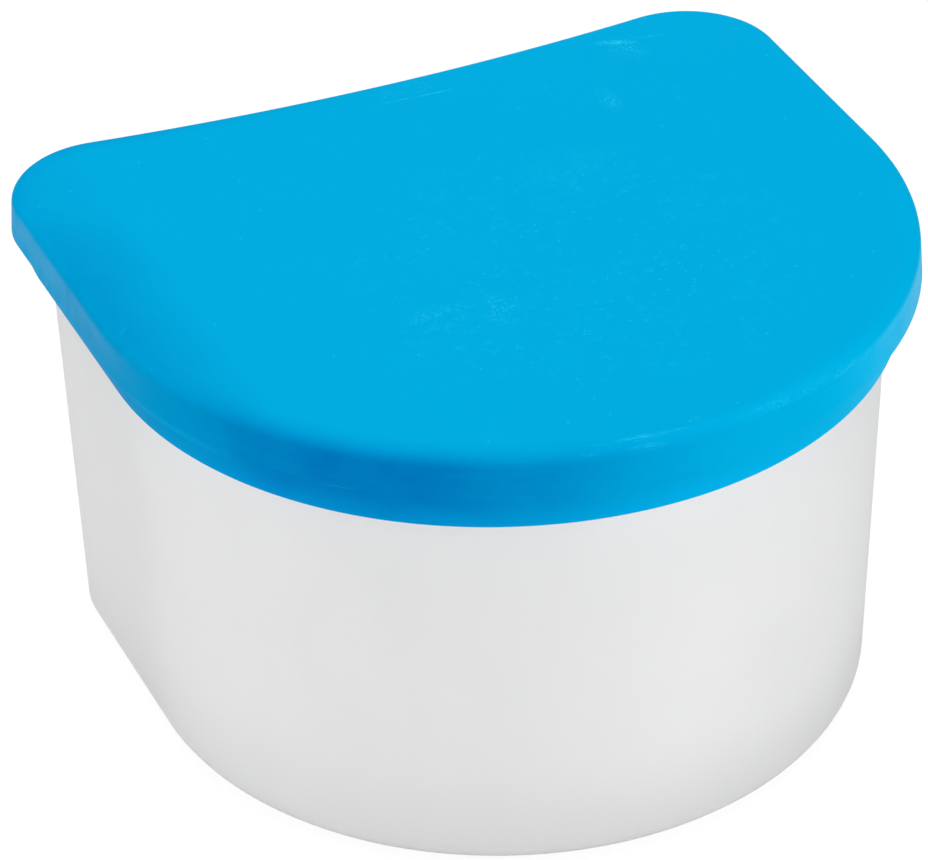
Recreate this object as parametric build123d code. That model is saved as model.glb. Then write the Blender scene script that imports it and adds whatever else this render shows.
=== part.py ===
from build123d import *
import math
import os

# Denture case, in millimetres: a drafted tub and a press-on lid that overhangs it.
# Z is up. The origin is on the surface that the case stands on, midway across and midway
# from front to back of the lid. The hollow back faces +Y and the round nose faces -Y.

# Plan of the lid. Every other ring of the case is this outline, drawn in by an inset.
lid_width = 96.0
lid_depth = 86.1
corner_radius = 11.6
back_radius = 285.0

# Height of the closed case
case_height = 58.4

# Lid: plate, upright band, and below it a lip that leans in towards the tub
plate_thickness = 1.8
top_edge_radius = 1.6
band_height = 5.15
band_draft = 0.32
band_wall = 1.4
step_depth = 0.45
skirt_height = 10.2
lip_lean = 1.85
lip_thickness = 0.75
lip_edge_bevel = 0.2
lip_ledge_drop = 0.9
lip_ledge_depth = 0.8

# Ring under the plate that keeps the lid centred in the mouth of the tub
ring_clearance = 0.25
ring_thickness = 1.1
ring_depth = 2.6
ring_lead = 0.4

# Tub
wall_thickness = 1.4
wall_draft = 2.1
rim_corner_radius = 9.4
base_radius = 3.2
floor_thickness = 1.6
floor_corner_radius = 3.0
foot_width = 1.8
foot_height = 0.8
gate_diameter = 2.6
gate_height = 0.4

# Bead round the rim of the tub, which the lip of the lid passes over
bead_depth = 0.3
bead_height = 2.2
lip_clearance = 0.2
rim_edge_bevel = 0.3

# Straight bands that make up the quarter round of a rounded edge
round_bands = 6

# Levels above the surface that the case stands on
step_z = case_height - band_height
mouth_z = case_height - skirt_height
plate_z = case_height - plate_thickness
rim_z = plate_z
bead_z = rim_z - bead_height
floor_z = foot_height + floor_thickness

# Insets from the plan of the lid, from the outside inwards
lip_outer_inset = step_depth + lip_lean
lip_inner_inset = lip_outer_inset + lip_thickness
bead_inset = lip_inner_inset + lip_clearance
rim_inset = bead_inset + bead_depth
draft_slope = math.tan(math.radians(wall_draft))
foot_inset = rim_inset + rim_z * draft_slope + base_radius + foot_width


def outline(inset, corner, z):
    """Plan of one ring at height z, drawn in by inset, with back corners of radius corner.

    The back is a shallow hollow arc, each side is straight, and the nose is a half circle as
    wide as the ring. Every arc meets its neighbours at a tangent.
    """
    half_width = lid_width / 2 - inset
    nose_y = (lid_width - lid_depth) / 2
    lid_corner_x = lid_width / 2 - corner_radius
    lid_corner_y = lid_depth / 2 - corner_radius
    hollow_y = lid_corner_y + math.sqrt((back_radius + corner_radius) ** 2 - lid_corner_x ** 2)

    hollow_radius = back_radius + inset
    corner_x = half_width - corner
    reach = hollow_radius + corner
    corner_y = hollow_y - math.sqrt(reach ** 2 - corner_x ** 2)
    touch = (corner_x * hollow_radius / reach, hollow_y - (hollow_y - corner_y) * hollow_radius / reach)

    turn = math.atan2(hollow_y - corner_y, -corner_x)
    corner_mid = (corner_x + corner * math.cos(turn / 2), corner_y + corner * math.sin(turn / 2))
    lean = math.asin(corner_x / reach)
    hollow_mid = (hollow_radius * math.sin(lean / 2), hollow_y - hollow_radius * math.cos(lean / 2))
    nose_mid = (half_width * math.sqrt(0.5), nose_y - half_width * math.sqrt(0.5))

    with BuildSketch(Plane.XY.offset(z)) as ring:
        with BuildLine():
            ThreePointArc((0, hollow_y - hollow_radius), hollow_mid, touch)
            ThreePointArc(touch, corner_mid, (half_width, corner_y))
            Line((half_width, corner_y), (half_width, nose_y))
            ThreePointArc((half_width, nose_y), nose_mid, (0, nose_y - half_width))
            mirror(about=Plane.YZ)
        make_face()
    return ring.sketch


def block(corner, levels):
    """Solid with straight flanks through a row of levels, lowest first, each given as (inset, z).

    The corner radius is that of a ring with no inset, so every ring's corners are drawn in with it.
    """
    rings = [outline(inset, corner - inset, z) for inset, z in levels]
    return loft(rings, ruled=True)


def lid_block(*levels):
    """Solid with the back corners of the lid."""
    return block(corner_radius, levels)


def tub_block(*levels):
    """Solid with the back corners of the tub, whose radius is given at the rim."""
    return block(rim_corner_radius + rim_inset, levels)


def wall_inset(z):
    """Inset of the outer face of the drafted wall of the tub at height z."""
    return rim_inset + (rim_z - z) * draft_slope


def band_inset(z):
    """Inset of the drafted band of the lid at height z."""
    return (z - step_z) * band_draft / band_height


def quarter_round(flat_z, way, radius, flank_inset):
    """Levels of a rounded edge between a flat at height flat_z and a flank, lowest level first.

    The flank goes up from the flat where way is 1, and down from it where way is -1. The edge is
    a quarter round in straight bands that turn by equal angles.
    """
    levels = []
    for band in range(round_bands + 1):
        angle = math.radians(90 * band / round_bands)
        z = flat_z + way * radius * (1 - math.cos(angle))
        levels.append((flank_inset(z) + radius * (1 - math.sin(angle)), z))
    return levels[::way]


def edges_at(part, z):
    """Edges of a part that lie flat at height z."""
    return part.edges().filter_by(lambda edge: all(abs(end.Z - z) < 1e-4 for end in edge.vertices()))


def drafted_block(bottom, radius, depth):
    """Solid inside the drafted wall of the tub, at a depth from its outer face, up to the rim."""
    edge = quarter_round(bottom, 1, radius, lambda z: wall_inset(z) + depth)
    return tub_block(*edge, (rim_inset + depth, rim_z))


def make_tub():
    """Tub: drafted wall, rounded base edge, foot ring under the floor and a bead at the rim."""
    body = drafted_block(0, base_radius, 0)
    bead_foot_z = bead_z - bead_depth
    body += tub_block((wall_inset(bead_foot_z), bead_foot_z), (bead_inset, bead_z), (bead_inset, rim_z))
    body -= drafted_block(floor_z, floor_corner_radius, wall_thickness)
    body = chamfer(edges_at(body, rim_z), rim_edge_bevel)

    body -= tub_block((foot_inset, 0), (foot_inset, foot_height))
    gate = Cylinder(gate_diameter / 2, gate_height, align=(Align.CENTER, Align.CENTER, Align.MAX))
    return body + Pos(0, 0, foot_height) * gate


def lid_shell():
    """Outside of the lid: flat top, upright band and leaning lip, still solid inside."""
    band = lid_block((0, step_z), *quarter_round(case_height, -1, top_edge_radius, band_inset))
    lip = lid_block((lip_outer_inset, mouth_z), (step_depth, step_z))
    lip = chamfer(edges_at(lip, mouth_z), lip_edge_bevel)
    return band + lip


def lid_hollow():
    """Space inside the lid: a wide pocket under the plate, closed in below by the lip."""
    ledge_z = step_z - lip_ledge_drop
    ledge_top_z = ledge_z + lip_ledge_depth
    pocket_inset = band_draft + band_wall
    lip_top_inset = pocket_inset + lip_ledge_depth
    mouth = (lip_inner_inset, mouth_z)
    ledge = [(lip_top_inset, ledge_z), (pocket_inset, ledge_top_z)]
    return lid_block(mouth, *ledge, (pocket_inset, plate_z))


def locating_ring():
    """Ring under the plate, with a lead at its lower edge to find the mouth of the tub."""
    ring_z = plate_z - ring_depth
    outer_inset = wall_inset(ring_z) + wall_thickness + ring_clearance
    inner_inset = outer_inset + ring_thickness
    ring = tub_block((outer_inset, ring_z), (outer_inset, plate_z))
    ring = chamfer(edges_at(ring, ring_z), ring_lead)
    return ring - tub_block((inner_inset, ring_z), (inner_inset, plate_z))


def make_lid():
    """Lid: one moulding with a stepped skirt outside and a locating ring inside."""
    return lid_shell() - lid_hollow() + locating_ring()


os.makedirs("parts", exist_ok=True)
pieces = {"tub": make_tub(), "lid": make_lid()}
for name, piece in pieces.items():
    piece.label = name
    export_step(piece, f"parts/{name}.step")
    size = piece.bounding_box().size
    print(name, "volume", round(piece.volume / 1000, 2), "cm3, size", [round(s, 2) for s in size])
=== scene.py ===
# %% [markdown]
# # A denture case in two mouldings
# The case is a pale tub with a drafted wall and a bright blue lid that presses over its rim.
# Seen from above it is a half moon with a softly hollowed back, so that one outline, drawn in
# more or less at each height, gives every wall of both pieces. This notebook loads the packed
# model as a fixed frame, builds a fine skin for each piece round it, gives both their plastics,
# and lights them as a small studio would.

# %% Load the frame
import math

import bpy
import numpy as np
from mathutils import Matrix, Vector


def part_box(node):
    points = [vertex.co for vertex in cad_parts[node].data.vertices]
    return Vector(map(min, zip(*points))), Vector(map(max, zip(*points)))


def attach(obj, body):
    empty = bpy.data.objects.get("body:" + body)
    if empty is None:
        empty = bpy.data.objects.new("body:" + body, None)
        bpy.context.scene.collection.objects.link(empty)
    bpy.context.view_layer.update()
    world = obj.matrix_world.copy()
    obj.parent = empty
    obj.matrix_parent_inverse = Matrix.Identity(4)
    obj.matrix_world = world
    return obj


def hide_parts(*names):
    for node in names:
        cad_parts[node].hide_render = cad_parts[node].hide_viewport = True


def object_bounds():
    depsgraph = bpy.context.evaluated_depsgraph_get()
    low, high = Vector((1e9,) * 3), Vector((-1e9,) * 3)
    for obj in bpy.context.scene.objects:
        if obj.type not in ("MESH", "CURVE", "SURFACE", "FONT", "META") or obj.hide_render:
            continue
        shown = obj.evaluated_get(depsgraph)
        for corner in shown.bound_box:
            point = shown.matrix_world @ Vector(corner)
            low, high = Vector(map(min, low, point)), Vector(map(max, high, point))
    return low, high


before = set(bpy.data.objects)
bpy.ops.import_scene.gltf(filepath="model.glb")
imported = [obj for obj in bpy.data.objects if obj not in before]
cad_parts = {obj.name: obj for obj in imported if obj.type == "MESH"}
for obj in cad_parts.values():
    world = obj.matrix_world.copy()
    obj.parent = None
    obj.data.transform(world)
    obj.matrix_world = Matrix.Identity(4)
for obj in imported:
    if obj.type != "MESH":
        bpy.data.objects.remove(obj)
cad_low, cad_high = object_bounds()
print("packed box in mm", [round(1000 * side, 2) for side in cad_high - cad_low])

# %% [markdown]
# ## Driving sizes
# Blender works in metres here, but a moulding this small is easier to think about in
# millimetres, so every size below is in millimetres and the meshes are scaled once, at the end.
# The overall sizes come from the frame. The others are the sizes that a toolmaker would put on
# the drawing: walls, drafts, radii and the fits between the lid and the tub.

# %% Sizes of the outline and of both mouldings
mm = 0.001
lid_low, lid_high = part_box("lid")
lid_width = round((lid_high.x - lid_low.x) / mm, 1)
lid_depth = round((lid_high.y - lid_low.y) / mm, 1)
case_height = round(lid_high.z / mm, 1)
corner_radius = 11.6
back_radius = 285.0

plate_thickness = 1.8
top_edge_radius = 1.6
band_height = 5.15
band_draft = 0.32
band_wall = 1.4
step_depth = 0.45
skirt_height = 10.2
lip_lean = 1.85
lip_thickness = 0.75
ledge_drop = 0.9
ledge_depth = 0.8
ring_clearance = 0.25
ring_thickness = 1.1
ring_depth = 2.6

wall_thickness = 1.4
wall_draft = 2.1
rim_corner_radius = 9.4
base_radius = 3.2
floor_thickness = 1.6
floor_corner_radius = 3.0
foot_width = 1.8
foot_height = 0.8
gate_radius = 1.3
gate_height = 0.4
bead_depth = 0.3
bead_height = 2.2
lip_clearance = 0.2
print("lid", lid_width, "x", lid_depth, "mm, case", case_height, "mm high")

# %% Levels and insets that follow from them
step_z = case_height - band_height
mouth_z = case_height - skirt_height
plate_z = case_height - plate_thickness
ring_z = plate_z - ring_depth
rim_z = plate_z
bead_z = rim_z - bead_height
floor_z = foot_height + floor_thickness

lip_outer = step_depth + lip_lean
lip_inner = lip_outer + lip_thickness
bead_inset = lip_inner + lip_clearance
rim_inset = bead_inset + bead_depth
draft_slope = math.tan(math.radians(wall_draft))
foot_inset = rim_inset + rim_z * draft_slope + base_radius + foot_width
lid_corner = corner_radius
tub_corner = rim_corner_radius + rim_inset


def wall_inset(z):
    """Inset of the outer face of the tub: the inset at its rim plus the draft below it."""
    return rim_inset + (rim_z - z) * draft_slope


print("rim of the tub at", rim_z, "mm, mouth of the lid at", round(mouth_z, 2), "mm")

# %% [markdown]
# ## One outline for every ring
# The plan has four stretches on each side of its middle: the hollow back, a back corner, a
# straight side and a quarter of the round nose. A scaled copy would change the wall thickness
# from place to place. An offset keeps it even: each arc keeps its centre and its radius changes
# by the inset. The whole family of rings is worked out at once, as arrays with one row for each
# ring and one column for each point round it.

# %% The outline as a function of its inset
hollow_points = 40
corner_points = 34
side_points = 22
nose_points = 96


def plan(inset, corner):
    """Outlines as (rings, points, 2) in millimetres, one for each inset and corner radius.

    Hollow back: an arc about a point behind the case. Corner: an arc whose centre lies one
    corner radius inside both the side and the hollow. Side: a straight run. Nose: a quarter
    circle as wide as the ring. Shares of each stretch run from 0 to 1, and the other half of
    the outline is the mirror image.
    """
    inset, corner = inset[:, None], corner[:, None]
    half_width = lid_width / 2 - inset
    nose_y = (lid_width - lid_depth) / 2
    hollow_y = lid_depth / 2 - corner_radius + math.sqrt(
        (back_radius + corner_radius) ** 2 - (lid_width / 2 - corner_radius) ** 2
    )
    hollow_radius = back_radius + inset
    corner_x = half_width - corner
    reach = hollow_radius + corner
    corner_y = hollow_y - np.sqrt(reach**2 - corner_x**2)
    lean = np.arcsin(corner_x / reach)

    along_hollow = lean * np.arange(hollow_points) / hollow_points
    along_corner = (np.pi / 2 + lean) * (1 - np.arange(corner_points) / corner_points)
    along_side = np.arange(side_points) / side_points
    along_nose = np.pi / 2 * np.arange(nose_points + 1) / nose_points
    x = np.hstack([
        hollow_radius * np.sin(along_hollow),
        corner_x + corner * np.cos(along_corner),
        half_width + 0 * along_side,
        half_width * np.cos(along_nose),
    ])
    y = np.hstack([
        hollow_y - hollow_radius * np.cos(along_hollow),
        corner_y + corner * np.sin(along_corner),
        corner_y + (nose_y - corner_y) * along_side,
        nose_y - half_width * np.sin(along_nose),
    ])
    half = np.stack([x, y], axis=-1)
    mirrored = half[:, -2:0:-1] * [-1, 1]
    return np.concatenate([half, mirrored], axis=1)


outer_ring = plan(np.zeros(1), np.full(1, lid_corner))[0]
spans = np.ptp(outer_ring, axis=0).round(2)
print("points round the case", len(outer_ring), "outline spans", spans)

# %% [markdown]
# ## Profiles with true radii
# Cut the moulding down its middle and its edge is a row of corners: plate, band, step, lip and
# so on. No moulded corner is sharp, because the steel that made it wasn't, so each corner gets an
# arc. Two extra points hug each arc. They keep the smooth shading of the arc from bleeding into
# the flat faces beside it.

# %% Helpers that round and fill a profile
arc_steps = 7
hug = 0.05
run_step = 2.5


def rounded(corners, radii):
    """Profile of (inset, z) points in which every inner corner is an arc of its own radius.

    The arc touches both runs at radius / tan(half the inner angle) from the corner. Its centre
    lies on the bisector at radius / sin(half the inner angle). Its points swing evenly from one
    touching point to the other.
    """
    corners = np.array(corners, float)
    radius = np.array(radii, float)[:, None]
    at = corners[1:-1]
    back, ahead = corners[:-2] - at, corners[2:] - at
    back /= np.linalg.norm(back, axis=1, keepdims=True)
    ahead /= np.linalg.norm(ahead, axis=1, keepdims=True)
    half = np.arccos((back * ahead).sum(1, keepdims=True)) / 2
    touch = radius / np.tan(half)
    middle = back + ahead
    middle /= np.linalg.norm(middle, axis=1, keepdims=True)
    centre = at + middle * radius / np.sin(half)
    start, end = at + back * touch - centre, at + ahead * touch - centre
    swing = (np.pi - 2 * half)[:, None]
    share = np.linspace(0, 1, arc_steps + 1)[None, :, None]
    turned = np.sin((1 - share) * swing) * start[:, None] + np.sin(share * swing) * end[:, None]
    arc = centre[:, None] + turned / np.sin(swing)
    before, after = at + back * (touch + hug), at + ahead * (touch + hug)
    runs = np.concatenate([before[:, None], arc, after[:, None]], axis=1).reshape(-1, 2)
    return np.vstack([corners[:1], runs, corners[-1:]])


def filled(profile):
    """The same profile with extra points every run_step along it, by linear interpolation."""
    length = np.r_[0, np.cumsum(np.linalg.norm(np.diff(profile, axis=0), axis=1))]
    stations = np.union1d(length, np.arange(0, length[-1], run_step))
    return np.column_stack([np.interp(stations, length, column) for column in profile.T])


def smooth(value, low, high):
    """Smooth step from 0 to 1 as value goes from low to high: 3 t squared less 2 t cubed."""
    t = np.clip((value - low) / (high - low), 0, 1)
    return t**2 * (3 - 2 * t)


def nearness(profile, corners, reach):
    """How near each point is to the nearest of some corners: a bell curve of the distance."""
    apart = np.linalg.norm(profile[:, None] - np.array(corners, float)[None], axis=2).min(axis=1)
    return np.exp(-((apart / reach) ** 2))


square_corner = rounded([(0, 5), (0, 0), (5, 0)], [1.0])
gap = float(np.linalg.norm(square_corner, axis=1).min())
print("a square corner of radius 1 takes", len(square_corner), "points, and clears the corner by",
      round(gap, 3))

# %% [markdown]
# ## From profile to closed skin
# A row of the skin is the outline at that row's inset and height. Flat floors and plates are
# closed by rows that turn, bit by bit, from the outline into a small circle round the middle,
# which ends in one pole point. The same rows draw the stub that the mould's gate leaves under
# the tub. The first pole lies on the side that looks up, so the faces point outwards.
#
# A row is six numbers: inset, height, corner radius, pull towards the circle, radius of the
# circle, and how far the place has been rubbed pale, from 0 to 1, which on the lid also stands
# for a faint painted highlight along its edges.

# %% Rows of a skin
flat_rows = 14
middle_circle = 2.0


def wall_rows(profile, corner, edge):
    """Rows that follow the outline: the corner radius is drawn in with the inset."""
    blank = np.zeros(len(profile))
    return np.column_stack([profile, corner - profile[:, 0], blank, blank, edge])


def flat_row_set(inset, height, corner, circle):
    """Rows on a flat, from the outline (pull 0) to a small circle round the middle (pull 1)."""
    pull = np.linspace(0, 1, flat_rows + 1)[1:]
    same = np.ones(flat_rows)
    return np.column_stack(
        [inset * same, height * same, (corner - inset) * same, pull, circle * same, 0 * same]
    )


print("rows on each flat", flat_rows)


# %% The mesh made from the rows
def skin(name, rows, **shares):
    """Closed mesh through the rows, with one pole at each end, and shares that its finish reads.

    Point = (1 - pull) x outline + pull x circle, where the circle has the outline's own
    directions from the middle. Each face joins two neighbours on one row to the two below.
    """
    inset, height, corner, pull, circle, edge = rows.T
    ring = plan(inset, corner)
    heading = ring / np.linalg.norm(ring, axis=2, keepdims=True)
    share = pull[:, None, None]
    ring = ring * (1 - share) + heading * circle[:, None, None] * share
    count, around = ring.shape[:2]
    level = np.broadcast_to(height[:, None, None], (count, around, 1))
    grid = np.concatenate([ring, level], axis=2).reshape(-1, 3)
    poles = np.array([[0, 0, height[0]], [0, 0, height[-1]]])
    points = np.vstack([grid, poles]) * mm

    place = np.arange(count * around).reshape(count, around)
    beside = np.roll(place, -1, axis=1)
    quads = np.stack([place[:-1], beside[:-1], beside[1:], place[1:]], axis=-1).reshape(-1, 4)
    first, last = np.full(around, count * around), np.full(around, count * around + 1)
    top_fan = np.column_stack([first, beside[0], place[0]])
    end_fan = np.column_stack([last, place[-1], beside[-1]])

    mesh = bpy.data.meshes.new(name)
    mesh.from_pydata(points.tolist(), [], quads.tolist() + top_fan.tolist() + end_fan.tolist())
    mesh.shade_smooth()
    for label, share in {"edge": edge, **shares}.items():
        values = np.r_[np.repeat(share, around), share[0], share[-1]]
        mesh.attributes.new(label, "FLOAT", "POINT").data.foreach_set("value", values.astype("f"))
    piece = bpy.data.objects.new(name, mesh)
    bpy.context.scene.collection.objects.link(piece)
    print(name, "rows", count, "faces", len(mesh.polygons), "valid", not mesh.validate())
    return piece


# %% [markdown]
# ## The tub
# The tub starts on its inner floor, climbs the inner wall, turns over the rim, drops down the
# bead and the drafted wall, rounds the base and ends on the shallow recess inside the foot ring.
# The foot ring keeps a slightly dished floor from rocking, and the gate stub stands in the
# recess, where it can't scratch a shelf. The rim, the foot and the base edge are where hands and
# shelves rub, so the rows near them carry a share of wear for the finish.

# %% Build the tub
floor_margin = 4.0
recess_margin = 0.8
tub_wear_reach = 0.8
rim_radius = 0.35
bead_radius = 0.15
bead_foot_radius = 0.25
foot_radius = 0.2
stub_flare = 0.3
stub_taper = 0.1
stub_radius = 0.12


def tub_rows():
    """Rows of the tub, from the middle of its inner floor to the gate stub under it."""
    floor_edge = (wall_inset(floor_z) + wall_thickness, floor_z)
    rim_inside, rim_outside = (rim_inset + wall_thickness, rim_z), (bead_inset, rim_z)
    bead_foot = bead_z - bead_depth
    base_edge, foot_edge = (wall_inset(0), 0), (foot_inset, 0)
    corners = [
        (floor_edge[0] + floor_margin, floor_z), floor_edge, rim_inside, rim_outside,
        (bead_inset, bead_z), (wall_inset(bead_foot), bead_foot), base_edge, foot_edge,
        (foot_inset, foot_height), (foot_inset + recess_margin, foot_height),
    ]
    radii = [
        floor_corner_radius, rim_radius, rim_radius, bead_radius, bead_foot_radius, base_radius,
        foot_radius, foot_radius,
    ]
    profile = filled(rounded(corners, radii))
    rubbed_corners = [rim_inside, rim_outside, (base_edge[0] + 1, 1), foot_edge]
    worn = nearness(profile, rubbed_corners, tub_wear_reach)
    walls = wall_rows(profile, tub_corner, worn)

    floor = flat_row_set(profile[0, 0], floor_z, tub_corner, middle_circle)[::-1]
    stub_foot = gate_radius + stub_flare
    recess = flat_row_set(profile[-1, 0], foot_height, tub_corner, stub_foot)
    stub_corners = [
        (stub_foot, 0), (gate_radius, 0), (gate_radius - stub_taper, gate_height),
        (stub_flare, gate_height),
    ]
    stub = rounded(stub_corners, [stub_radius, stub_radius])
    stub_rows = np.repeat(recess[-1:], len(stub), axis=0)
    stub_rows[:, 4], stub_rows[:, 1] = stub[:, 0], foot_height - stub[:, 1]
    return np.vstack([floor, walls, recess, stub_rows[1:]])


tub = skin("tub_moulding", tub_rows())
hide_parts("tub")
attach(tub, "tub")

# %% [markdown]
# ## The lid
# The lid starts in the middle of its top. The plate turns down over a soft edge into an upright
# band, steps in, and leans in towards the tub as a thin lip. Inside, the lip opens above its
# ledge into a wider pocket for the bead. A low ring under the plate finds the mouth of the tub,
# so the lid goes on straight.

# %% Build the lid
flat_margin = 8.0
pocket_margin = 1.5
ring_margin = 0.8
step_radius = 0.15
mouth_outer_radius, mouth_inner_radius = 0.22, 0.18
ledge_radius, ledge_top_radius = 0.3, 0.4
pocket_radius = 0.6
ring_radii = [0.25, 0.4, 0.2, 0.3]
lid_wear_reach = 0.9
fade_start, fade_end = -0.9, 2.7


def lid_rows():
    """Rows of the lid, from the middle of its top round the skirt to the middle of its underside.

    Also the share of each row that has the plate's colour. It falls smoothly, with the distance
    along the profile from where the plate starts to round over, from 1 on the flat to 0 below
    the soft edge.
    """
    top_edge, step_edge = (band_draft, case_height), (0, step_z)
    mouth_edge = (lip_outer, mouth_z)
    ledge_z = step_z - ledge_drop
    pocket = band_draft + band_wall
    corners = [
        (top_edge[0] + flat_margin, case_height), top_edge, step_edge, (step_depth, step_z),
        mouth_edge, (lip_inner, mouth_z), (pocket + ledge_depth, ledge_z),
        (pocket, ledge_z + ledge_depth), (pocket, plate_z), (pocket + pocket_margin, plate_z),
    ]
    radii = [
        top_edge_radius, step_radius, step_radius, mouth_outer_radius, mouth_inner_radius,
        ledge_radius, ledge_top_radius, pocket_radius,
    ]
    skirt = filled(rounded(corners, radii))
    soft_edge = (top_edge[0] + 0.5, case_height - 0.5)
    # on the lid this wear share also paints a faint highlight along these edges
    worn = nearness(skirt, [soft_edge, step_edge, mouth_edge], lid_wear_reach)
    skirt_rows = wall_rows(skirt, lid_corner, worn)

    outside = wall_inset(ring_z) + wall_thickness + ring_clearance
    inside = outside + ring_thickness
    ring_corners = [
        (outside - ring_margin, plate_z), (outside, plate_z), (outside, ring_z), (inside, ring_z),
        (inside, plate_z), (inside + ring_margin, plate_z),
    ]
    ring = filled(rounded(ring_corners, ring_radii))
    ring_rows = wall_rows(ring, tub_corner, np.zeros(len(ring)))
    top = flat_row_set(skirt[0, 0], case_height, lid_corner, middle_circle)[::-1]
    underside = flat_row_set(inside + ring_margin, plate_z, tub_corner, middle_circle)

    steps = np.linalg.norm(np.diff(skirt, axis=0), axis=1)
    past_flat = np.r_[0, np.cumsum(steps)] - (flat_margin - top_edge_radius)
    on_skirt = 1 - smooth(past_flat, fade_start, fade_end)
    share = np.concatenate([np.ones(len(top)), on_skirt, np.ones(len(ring_rows) + flat_rows)])
    return np.vstack([top, skirt_rows, ring_rows, underside]), share


rows, plate_share = lid_rows()
lid = skin("lid_moulding", rows, plate=plate_share)
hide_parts("lid")
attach(lid, "lid")

# %% [markdown]
# ## Shader maths as expressions
# A material is a graph of small nodes, and a graph written node by node is hard to read. Here one
# small class holds a socket. Adding, multiplying or subtracting it makes the Math node, so the
# materials below read like formulas. Everything else, from a noise to a mix of two colours, comes
# from its one method `node`.

# %% One class for sockets
def find_socket(sockets, key):
    """A socket by its number, or by its identifier or name."""
    if isinstance(key, int):
        return sockets[key]
    return next(socket for socket in sockets if key in (socket.identifier, socket.name))


class Wire:
    """An output socket whose sums are Math nodes of the same node tree."""

    def __init__(self, tree, socket=None):
        self.tree, self.socket = tree, socket

    def node(self, kind, settings=None, sockets=None, output=0):
        """Add a node of a kind: first its settings, then values or wires for its sockets."""
        node = self.tree.nodes.new(kind)
        for key, value in (settings or {}).items():
            setattr(node, key, value)
        for key, value in (sockets or {}).items():
            socket = find_socket(node.inputs, key)
            if isinstance(value, Wire):
                self.tree.links.new(value.socket, socket)
            else:
                socket.default_value = value
        return Wire(self.tree, find_socket(node.outputs, output))

    def math(self, operation, *values):
        """A Math node on up to three values or wires."""
        return self.node("ShaderNodeMath", {"operation": operation}, dict(enumerate(values)))

    def __add__(self, other):
        return self.math("ADD", self, other)

    def __sub__(self, other):
        return self.math("SUBTRACT", self, other)

    def __rsub__(self, other):
        return self.math("SUBTRACT", other, self)

    def __mul__(self, other):
        return self.math("MULTIPLY", self, other)

    def __gt__(self, other):
        return self.math("GREATER_THAN", self, other)

    def __or__(self, other):
        return self.math("MAXIMUM", self, other)

    __radd__ = __add__
    __rmul__ = __mul__

    def vector(self, operation, *values):
        """A Vector Math node on this wire and up to two more vectors."""
        sockets = dict(enumerate((self, *values)))
        return self.node("ShaderNodeVectorMath", {"operation": operation}, sockets)

    def axis(self, name):
        """The X, Y or Z number of this vector."""
        return self.node("ShaderNodeSeparateXYZ", {}, {"Vector": self}, name)

    def ramp(self, low, high, start=0.0, end=1.0, shape="SMOOTHSTEP"):
        """A smooth step from start to end as this value goes from low to high."""
        values = {"Value": self, "From Min": low, "From Max": high, "To Min": start, "To Max": end}
        return self.node("ShaderNodeMapRange", {"interpolation_type": shape}, values)

    def window(self, rise, risen, fall, fallen):
        """One between a smooth step up, rise to risen, and one down, fall to fallen."""
        return self.ramp(rise, risen) * self.ramp(fall, fallen, 1.0, 0.0)

    def mix(self, first, second):
        """A colour between two colours, by this value as the share of the second."""
        sockets = {"Factor_Float": self, "A_Color": first, "B_Color": second}
        return self.node("ShaderNodeMix", {"data_type": "RGBA"}, sockets, "Result_Color")


def rgb(red, green, blue):
    """A colour socket's four numbers from three, in linear light."""
    return (red, green, blue, 1.0)


print("what a wire can do:", [name for name in vars(Wire) if not name.startswith("_")])

# %% [markdown]
# ## Marks that plastic gathers
# Three kinds of detail keep moulded plastic from looking like a flat colour: a fine grain from
# the spark-eroded mould, a cloudy unevenness of the pigment, and what handling leaves, such as
# specks and scuffs. Each is a mask from 0 to 1 that the materials then spend on colour,
# roughness and bump. All sizes are in millimetres, because the object's own coordinates are
# scaled first.

# %% Clouds and specks
def object_place(start):
    """The object's own coordinates in millimetres."""
    place = start.node("ShaderNodeTexCoord", output="Object")
    return place.vector("MULTIPLY", (1 / mm, 1 / mm, 1 / mm))


def cloud(place, size, detail=2.0, stretch=(1, 1, 1)):
    """Noise whose blotches are about size millimetres across, centred on one half."""
    scaled = place.vector("MULTIPLY", tuple(axis / size for axis in stretch))
    return place.node("ShaderNodeTexNoise", {}, {"Vector": scaled, "Scale": 1.0, "Detail": detail})


speck_core = 0.3


def specks(place, spacing, size, share, dimensions="3D"):
    """Dots round the cells' own points, in the share of cells whose random number is highest."""
    settings = {"feature": "F1", "voronoi_dimensions": dimensions}
    cells = {"Vector": place.vector("MULTIPLY", (1 / spacing,) * 3), "Scale": 1.0}
    distance = place.node("ShaderNodeTexVoronoi", settings, cells, "Distance")
    lottery = place.node("ShaderNodeTexVoronoi", settings, cells, "Color").axis("X")
    dots = distance.ramp(speck_core * size / spacing, size / spacing, 1.0, 0.0)
    return dots * (lottery > 1 - share)


print("a speck is full over", speck_core, "of its size, and fades over the rest")

# %% [markdown]
# ## Marks in one place
# A scratch or a rubbed spot sits where something touched the piece, so its mask starts from an
# oval at a place, turned to lie along the stroke. Noise then breaks the oval up: noise that is
# stretched along the stroke leaves threads, and fine even noise leaves crumbs.

# %% Ovals, scuffs and grit
thread_edge = (0.46, 0.60)
crumb_edge = (0.47, 0.62)
bald_edge = (0.40, 0.56)
crumb_size = 0.42


def patch(place, at, length, width, degrees, depth=2.0):
    """A soft oval of one at a place, turned about Z, and its own turned coordinates.

    In those coordinates the oval's edge is at distance one from its centre, and the mask is one
    less the square of that distance, or nothing outside.
    """
    turned = {"Vector": place, "Location": at, "Rotation": (0, 0, math.radians(degrees)),
              "Scale": (length / 2, width / 2, depth)}
    own = place.node("ShaderNodeMapping", {"vector_type": "TEXTURE"}, turned)
    reach = own.vector("DOT_PRODUCT", own)
    distance = Wire(reach.tree, find_socket(reach.socket.node.outputs, "Value"))
    return distance.ramp(0.0, 1.0, 1.0, 0.0, "LINEAR"), own


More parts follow.
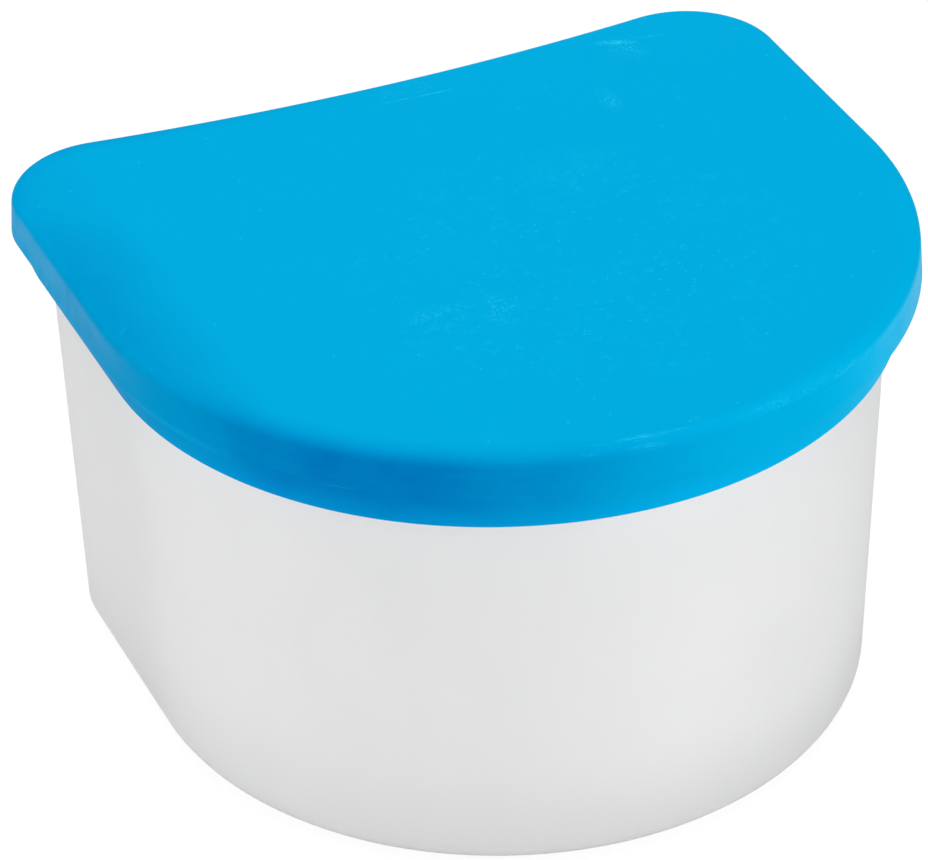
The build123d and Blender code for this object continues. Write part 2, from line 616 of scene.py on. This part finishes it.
def scuff(place, at, length, width, degrees, threads, strength):
    """A worn streak: an oval broken into long threads by noise that is stretched along it."""
    oval, own = patch(place, at, length, width, degrees)
    thread = cloud(own, 1.0, 3.0, (1.6, threads, 1.0))
    return oval * thread.ramp(*thread_edge) * strength


def grit(place, at, length, width, degrees, strength=0.42):
    """A rubbed patch: an oval broken into fine crumbs."""
    oval, own = patch(place, at, length, width, degrees)
    crumbs = cloud(place, crumb_size, 1.0).ramp(*crumb_edge)
    return oval * crumbs * cloud(place, 3.0, 2.0).ramp(*bald_edge) * strength


def joined(masks):
    """The highest of several masks."""
    whole = masks[0]
    for mask in masks[1:]:
        whole = whole | mask
    return whole


print("threads show where noise passes", thread_edge, "and crumbs", crumb_size, "mm across")

# %% A material to start from
def plastic(name):
    """An empty material with its shader, and a wire to start its masks from."""
    material = bpy.data.materials.new(name)
    material.use_nodes = True
    return material, material.node_tree.nodes["Principled BSDF"], Wire(material.node_tree)


def connect(shader, **wires):
    """Link wires to the shader's sockets, by socket names with spaces written as underscores."""
    for key, wire in wires.items():
        wire.tree.links.new(wire.socket, shader.inputs[key.replace("_", " ")])


def attribute(start, name):
    """One of the shares that the skin wrote on its points."""
    return start.node("ShaderNodeAttribute", {"attribute_name": name}, output="Fac")


bump_strength = 0.6
print("bump strength of both plastics", bump_strength)

# %% [markdown]
# ## The lid's blue plastic
# The lid is a satin polyolefin, heavily pigmented. Its plate is one thin wall and reads as a
# bright blue that leans to cyan. The skirt, two walls deep, carries painted shade and light: its
# blue is painted deep at the nose and down the left, where little light falls, a little paler
# towards the back on the left, and paler towards the right and on the right flank, where the
# lamps light it. The thin lip is painted paler towards the mouth, as light thrown up from the
# table, but not just under the step, which keeps a painted shadow. Under the step a thin pale
# line runs along the left, and a fainter one lies in the step on the right: both are painted
# highlights on the step's edge. Down the left of the plate the blue deepens over the last
# centimetre, as painted shade. Each of these is a smooth step in the lid's own coordinates, so
# the colour stays with the moulding however the lid is turned.

# %% Blues of the lid
plate_cyan = rgb(0.0, 0.420, 0.760)
# painted shade down the left of the plate
plate_left_painted_shade_blue = rgb(0.0, 0.302, 0.625)
# painted shade and light on the skirt: deep at the nose and the left, pale to the right
nose_painted_shade_blue = rgb(0.0, 0.191, 0.535)
right_painted_light_blue = rgb(0.0, 0.450, 0.795)
right_flank_painted_light_blue = rgb(0.0, 0.550, 0.940)
left_painted_shade_blue, left_back_painted_shade_blue = rgb(0.0, 0.322, 0.640), rgb(0.0, 0.365, 0.710)
# painted light: the lip paler towards the mouth, as light thrown up from below
mouth_painted_light_blue, mouth_right_painted_light_blue = rgb(0.0, 0.42, 0.90), rgb(0.0, 0.52, 0.98)
# painted highlights along the edge of the step
step_painted_highlight_blue, left_step_painted_highlight_blue = rgb(0.0, 0.47, 0.82), rgb(0.0, 0.48, 0.90)
print("deepest green share", nose_painted_shade_blue[1], "palest", right_flank_painted_light_blue[1])


# %% Where the lid's blue changes
def lid_blue(place, on_plate):
    """Pigment by place, with painted shade and light on the plate's left and on the skirt."""
    across, along, height = place.axis("X"), place.axis("Y"), place.axis("Z")
    # painted shade: the plate deepens over its last centimetre on the left, less towards the back
    shoulder = across.ramp(-47.5, -36.5, 1.0, 0.0, "LINEAR") * along.ramp(17.0, 30.0, 1.0, 0.35)
    plate = shoulder.mix(plate_cyan, plate_left_painted_shade_blue)

    # painted shade at the nose, painted light to the right and on the right flank below the plate
    skirt = across.ramp(-33.5, 16.0).mix(nose_painted_shade_blue, right_painted_light_blue)
    below_plate = height.ramp(case_height - 1.6, case_height - 0.5, 1.0, 0.0)
    skirt = (across.ramp(14.0, 34.0) * below_plate).mix(skirt, right_flank_painted_light_blue)
    # painted shade down the left of the skirt, a little less towards the back
    on_left = across.ramp(-50.0, -34.0, 1.0, 0.0)
    skirt = on_left.mix(skirt, along.ramp(5.0, 32.0).mix(left_painted_shade_blue, left_back_painted_shade_blue))

    # painted light from below on the lip, left out just under the step as its painted shadow
    to_mouth = height.ramp(mouth_z, step_z - 0.9, 1.0, 0.0, "LINEAR")
    to_mouth = to_mouth * across.ramp(-46.5, -43.5, 0.0, 0.4)
    skirt = to_mouth.mix(skirt, across.ramp(-28.0, 4.0).mix(mouth_painted_light_blue, mouth_right_painted_light_blue))
    # painted highlight: a faint pale line in the step on the right
    in_step = height.window(step_z - 0.5, step_z - 0.2, step_z + 0.1, step_z + 0.3)
    skirt = (in_step * across.ramp(14.0, 26.0) * 0.14).mix(skirt, step_painted_highlight_blue)
    # painted highlight: a thin pale line under the step on the left
    under_step = height.window(step_z - 1.9, step_z - 1.4, step_z - 0.1, step_z)
    left_step_highlight_share = across.ramp(-44.5, -40.0, 0.28, 0.0) * along.ramp(-3.0, 5.0, 1.0, 0.0)
    skirt = (under_step * left_step_highlight_share).mix(skirt, left_step_painted_highlight_blue)
    return on_plate.mix(skirt, plate)


# %% [markdown]
# ## The sheen on the lid's flanks
# Seen along its sides, the band has a greyish sheen that the plate lacks: the mould was polished
# there so that the lid comes off it. A paler pigment would look chalky from every side, so the
# sheen is a thin coat, a second, clearer layer over the plastic. It is widest on the band,
# weaker low on it at the left, and much less on the lip.

# %% Where the lid is polished
def lid_sheen(place):
    """Share of polish by place: both flanks of the band, less on the lip, none on the plate."""
    across, along, height = place.axis("X"), place.axis("Y"), place.axis("Z")
    left = across.ramp(-46.5, -43.0, 1.0, 0.0) * along.ramp(-12.0, 9.0)
    left = left * height.ramp(step_z + 0.6, step_z + 2.5, 0.6, 1.0)
    right = across.ramp(19.0, 38.0)
    below_plate = height.ramp(case_height - 1.5, case_height - 0.8, 1.0, 0.0)
    on_band = height.ramp(step_z - 0.3, step_z + 0.2, 0.42, 1.0)
    return (left | right) * below_plate * on_band


# %% [markdown]
# ## Scuffs on the lid
# The top of a lid is what hands, basins and shelves touch. Here it carries a fine long scratch
# and a rubbed corner near the hollow back, crumbs left of the middle, short strokes on the
# rounded edge of the nose, a rubbed stretch of that soft edge to the right of it, one nick on
# the left and one hairline under the step. Over the plate lie specks and a fine dust, thickest
# near the middle, and along the skirt run faint streaks from wiping. Each mark has its own place
# in millimetres. Worn polyolefin turns paler and rougher, never darker.

# %% Marks of the lid
def lid_marks(place, on_plate):
    """Two masks: what is worn, and what is only dusty.

    A scuff is given by its place, length, width, turn in degrees, threads across it and
    strength, and a patch of grit by its place, length, width, turn and strength.
    """
    top = case_height
    strokes = [
        scuff(place, (1.2, 35.4, top), 8.0, 0.50, -1, 3.0, 0.7),
        scuff(place, (5.6, 35.2, top), 5.0, 0.50, -1, 3.0, 1.3),
        scuff(place, (29.8, 37.2, top), 6.0, 1.20, -22, 5.0, 1.0),
        scuff(place, (34.0, 36.9, top), 4.5, 0.50, -10, 3.0, 0.9),
        scuff(place, (-3.7, -41.4, top), 7.0, 1.00, -6, 4.0, 0.8),
        scuff(place, (0.3, -41.7, top - 0.1), 3.8, 0.50, -4, 3.0, 0.5),
        scuff(place, (-3.4, -42.4, top - 0.9), 4.8, 0.60, -5, 3.0, 0.45),
        scuff(place, (-8.3, -40.9, top - 0.1), 3.0, 0.50, -15, 3.0, 0.25),
        scuff(place, (-9.6, -41.5, top - 0.8), 2.8, 0.50, -11, 3.0, 0.25),
        scuff(place, (-45.9, 1.4, top), 2.2, 0.40, 50, 3.0, 0.6),
    ]
    rubbed = [
        grit(place, (-13.2, -10.9, top), 10.0, 5.5, 3),
        grit(place, (-6.8, -12.5, top), 5.0, 9.0, 0),
        grit(place, (29.8, 37.2, top), 7.0, 1.8, -22, 0.8),
        grit(place, (30.5, 34.8, top), 6.0, 5.0, -20),
        grit(place, (23.3, 25.2, top), 3.0, 7.0, 0),
        grit(place, (2.7, -40.6, top), 2.5, 1.6, 0),
        grit(place, (3.2, 37.4, top), 8.0, 3.4, -8),
        grit(place, (13.5, 13.0, top), 14.0, 9.0, 0, 0.15),
    ]
    crowd, _ = patch(place, (5.0, -7.0, top), 58.0, 58.0, 0)
    fine = specks(place, 1.7, 0.21, 0.30, "2D") * cloud(place, 7.0).ramp(0.42, 0.58) * crowd
    coarse = specks(place, 4.5, 0.24, 0.15, "2D") * 0.8
    dust = cloud(place, 1.2, 1.0).ramp(0.59, 0.67) * cloud(place, 0.22, 0.0).ramp(0.50, 0.62)
    fine = fine | dust * crowd.ramp(0.0, 0.4) * 0.32
    streaks = cloud(place, 1.0, 3.0, (0.07, 0.07, 1.6)).ramp(0.56, 0.72)

    across = place.axis("X")
    depth = top - place.axis("Z")
    sunk = depth - across * 0.055
    soft_edge = depth.ramp(0.1, 0.4) * sunk.window(-0.8, 0.0, 0.25, 0.6)
    crumbs = cloud(place, 0.38, 1.0).ramp(0.44, 0.62) * cloud(place, 4.0, 2.0).ramp(0.30, 0.56)
    rubbed.append(soft_edge * across.ramp(5.0, 17.0) * crumbs * 0.38)
    hairline, _ = patch(place, (-33.3, -28.9, step_z - 0.42), 5.0, 4.0, -40, 0.18)
    rubbed.append(hairline * 0.2)
    worn = joined(strokes + rubbed)
    return worn, (fine | coarse) * on_plate | streaks * (1 - on_plate) * 0.06


# %% The lid's material
cloud_blue = rgb(0.0, 0.46, 0.80)
dusty_blue = rgb(0.014, 0.68, 1.0)
worn_blue = rgb(0.032, 0.72, 1.0)
# pale edges: partly wear, partly a painted highlight
edge_wear_and_highlight_blue = rgb(0.0, 0.48, 0.82)


def lid_plastic():
    """Blue with painted shade and light, clouds, pale marks, edges paled by wear and a painted
    highlight, and a fine grain.
    """
    material, shader, start = plastic("lid_plastic")
    place = object_place(start)
    edge = attribute(start, "edge")
    on_plate = attribute(start, "plate")
    clouds = cloud(place, 8.0, 3.0).ramp(0.38, 0.62)
    worn, dusty = lid_marks(place, on_plate)
    marks = worn | dusty
    blue = (clouds * 0.10).mix(lid_blue(place, on_plate), cloud_blue)
    blue = (dusty * 0.55).mix(blue, dusty_blue)
    blue = (worn * 0.7).mix(blue, worn_blue)
    # edges paled partly by wear, partly as a painted highlight
    blue = (edge * 0.05).mix(blue, edge_wear_and_highlight_blue)

    rough = 0.40 + cloud(place, 5.0, 3.0) * 0.08 + marks * 0.12 - edge * 0.04
    polish = lid_sheen(place) * cloud(place, 3.0, 2.0).ramp(0.30, 0.60, 0.22, 0.36)
    grain, swell = cloud(place, 0.35, 2.0), cloud(place, 22.0, 1.0)
    relief = grain * 0.006 + swell * 0.10 + marks * 0.004
    bump = {"Strength": bump_strength, "Distance": mm, "Height": relief}
    normal = start.node("ShaderNodeBump", {}, bump)
    connect(shader, Base_Color=blue, Roughness=rough, Coat_Weight=polish, Normal=normal)
    shader.inputs["Specular IOR Level"].default_value = 0.001
    shader.inputs["Coat Roughness"].default_value = 0.30
    return material


lid.data.materials.append(lid_plastic())
print("lid material nodes", len(lid.data.materials[0].node_tree.nodes))

# %% [markdown]
# ## The tub's pale plastic
# The tub is natural polypropylene with a little white in it. Its tone carries painted shade: it
# is greyer over the lowest centimetre and a half, more so towards the right, fading out again on
# the lowest three millimetres of the base edge, and over the back half. Smooth steps along the
# height, the depth and the width paint that shade. Over it lie a faint clouding, soft vertical
# flow marks, a little greying where the rim and the foot are handled, and fine dust. The grain
# is the same as the lid's.

# %% Tub material
milk_white, bright_white = rgb(0.855, 0.855, 0.857), rgb(0.875, 0.875, 0.875)
# painted shade: the grey that the low and back parts of the wall are painted towards
painted_shade_grey = rgb(0.775, 0.775, 0.775)
handled_grey = rgb(0.74, 0.74, 0.73)


def tub_plastic():
    """Off-white with faint clouds and flow marks, painted shade low down and behind, greyer at the
    edges.
    """
    material, shader, start = plastic("tub_plastic")
    place = object_place(start)
    edge = attribute(start, "edge")

    across, along, height = place.axis("X"), place.axis("Y"), place.axis("Z")
    clouds = cloud(place, 16.0, 3.0).ramp(0.3, 0.7)
    flow = cloud(place, 5.0, 2.0, (1, 1, 0.12)).ramp(0.3, 0.7)
    white = (clouds * 0.75 + flow * 0.25).mix(milk_white, bright_white)
    # painted shade over the back half
    white = (along.ramp(-2.0, 14.0) * 0.4).mix(white, painted_shade_grey)
    # painted shade over the lowest 15 mm, stronger to the right, fading out on the lowest 3 mm
    base = height.ramp(0.0, 15.0, 1.0, 0.0) * height.ramp(0.9, 3.2, 0.0, 1.0)
    white = (base * across.ramp(-40.0, 10.0, 0.45, 1.0)).mix(white, painted_shade_grey)
    dust = specks(place, 2.4, 0.25, 0.25) * clouds
    white = (dust * 0.25 + edge * 0.06).mix(white, handled_grey)

    rough = 0.42 + cloud(place, 6.0, 3.0) * 0.08 + dust * 0.1
    relief = cloud(place, 0.4, 2.0) * 0.006 + cloud(place, 18.0, 1.0) * 0.08
    bump = {"Strength": bump_strength, "Distance": mm, "Height": relief}
    normal = start.node("ShaderNodeBump", {}, bump)
    connect(shader, Base_Color=white, Roughness=rough, Normal=normal)
    shader.inputs["Specular IOR Level"].default_value = 0.15
    return material


tub.data.materials.append(tub_plastic())
print("tub material nodes", len(tub.data.materials[0].node_tree.nodes))

# %% [markdown]
# ## Floor, world and lamps
# A product shot on white is mostly soft light: a broad panel above, smaller ones to the right,
# in front and to the left, a weak one behind so that the back isn't left grey, and white light
# that comes back up from the table. The background itself isn't lit to white. The camera sees a
# world of strength 1, while the object is lit by a calmer one, so its colours render as they are
# written. The floor does the same: what the camera sees is mostly its own glow, which the case's
# soft shadow only dims a little.

# %% Floor
floor_size = 4.0
floor_glow = 0.90
shadow_paper = rgb(0.15, 0.15, 0.15)


def studio_floor():
    """A pale floor whose camera view is lifted to white, so that only the shadow shows on it."""
    half = floor_size / 2
    mesh = bpy.data.meshes.new("studio_floor")
    ring = [(-half, -half, 0), (half, -half, 0), (half, half, 0), (-half, half, 0)]
    mesh.from_pydata(ring, [], [(0, 1, 2, 3)])
    floor = bpy.data.objects.new("studio_floor", mesh)
    bpy.context.scene.collection.objects.link(floor)

    material, shader, start = plastic("studio_floor")
    place = object_place(start)
    paper = cloud(place, 30.0).mix(rgb(0.80, 0.80, 0.80), rgb(0.84, 0.84, 0.84))
    seen = start.node("ShaderNodeLightPath", output="Is Camera Ray")
    connect(shader, Base_Color=seen.mix(paper, shadow_paper))
    shader.inputs["Roughness"].default_value = 0.9
    shader.inputs["Specular IOR Level"].default_value = 0.0
    light = {"Color": rgb(1, 1, 1), "Strength": seen * floor_glow}
    glow = start.node("ShaderNodeEmission", {}, light)
    both = start.node("ShaderNodeAddShader", {}, {0: Wire(start.tree, shader.outputs[0]), 1: glow})
    start.tree.links.new(both.socket, start.tree.nodes["Material Output"].inputs["Surface"])
    mesh.materials.append(material)


studio_floor()
print("floor", floor_size, "m square")

# %% World
ambient = 0.12


def studio_world():
    """White at strength 1 where the camera or a reflection sees it, and softer as a light."""
    world = bpy.data.worlds.new("studio_world")
    world.use_nodes = True
    bpy.context.scene.world = world
    start = Wire(world.node_tree)
    seen = start.node("ShaderNodeLightPath", output="Is Camera Ray")
    shown = seen
    for ray in ("Is Glossy Ray", "Is Transmission Ray"):
        shown = shown | start.node("ShaderNodeLightPath", output=ray)
    strength = ambient + shown * (1 - ambient)
    background = world.node_tree.nodes["Background"]
    background.inputs["Color"].default_value = rgb(1, 1, 1)
    world.node_tree.links.new(strength.socket, background.inputs["Strength"])


studio_world()
print("ambient strength", ambient)

# %% Lamps
def panel(name, at, aim, size, watts):
    """A square soft panel at a point in metres, turned to face another point."""
    light = bpy.data.lights.new(name, "AREA")
    light.shape, light.size, light.energy = "SQUARE", size, watts
    lamp = bpy.data.objects.new(name, light)
    lamp.location = at
    lamp.rotation_euler = (Vector(aim) - Vector(at)).to_track_quat("-Z", "Y").to_euler()
    bpy.context.scene.collection.objects.link(lamp)


case_middle = (cad_low + cad_high) / 2
low_panel = 0.28
panel("panel_above", (0.05, 0.10, 0.90), case_middle, 0.8, 5.3)
panel("panel_right", (0.61, -0.51, low_panel), case_middle, 0.5, 2.12)
panel("panel_front", (-0.34, -0.73, low_panel), case_middle, 0.5, 2.62)
panel("panel_left", (-0.73, 0.34, low_panel), case_middle, 0.5, 2.23)
panel("panel_back", (0.30, 0.80, low_panel), case_middle, 0.5, 1.3)
print("lamps", [light.name for light in bpy.data.lights])

# %% [markdown]
# ## Camera
# The photograph was taken with a long lens from above and to the left of the nose, so the case
# shows almost no perspective. Its angles were found by fitting the outlines of both mouldings.
# The camera leans by a little over one degree, as a hand-held or roughly levelled one does.

# %% Set up the camera
azimuth = math.radians(-22.695)
elevation = math.radians(33.284)
roll = math.radians(-1.270)
distance = 0.5962
aim_point = Vector((-1.99, 10.68, 27.73)) * mm
lens = 198.54
sensor_width = 36.0

back = Vector((
    math.sin(azimuth) * math.cos(elevation),
    -math.cos(azimuth) * math.cos(elevation),
    math.sin(elevation),
))
level = Vector((0, 0, 1)).cross(back).normalized()
rise = back.cross(level)
right = math.cos(roll) * level + math.sin(roll) * rise
up = math.cos(roll) * rise - math.sin(roll) * level
camera = bpy.data.objects.new("camera", bpy.data.cameras.new("camera"))
camera.data.lens = lens
camera.data.sensor_width = sensor_width
camera.matrix_world = Matrix.Translation(aim_point + back * distance) @ (
    Matrix((right, up, back)).transposed().to_4x4()
)
bpy.context.scene.collection.objects.link(camera)
bpy.context.scene.camera = camera
bpy.context.scene.view_settings.view_transform = "Standard"
print("camera at", [round(value, 4) for value in camera.location])
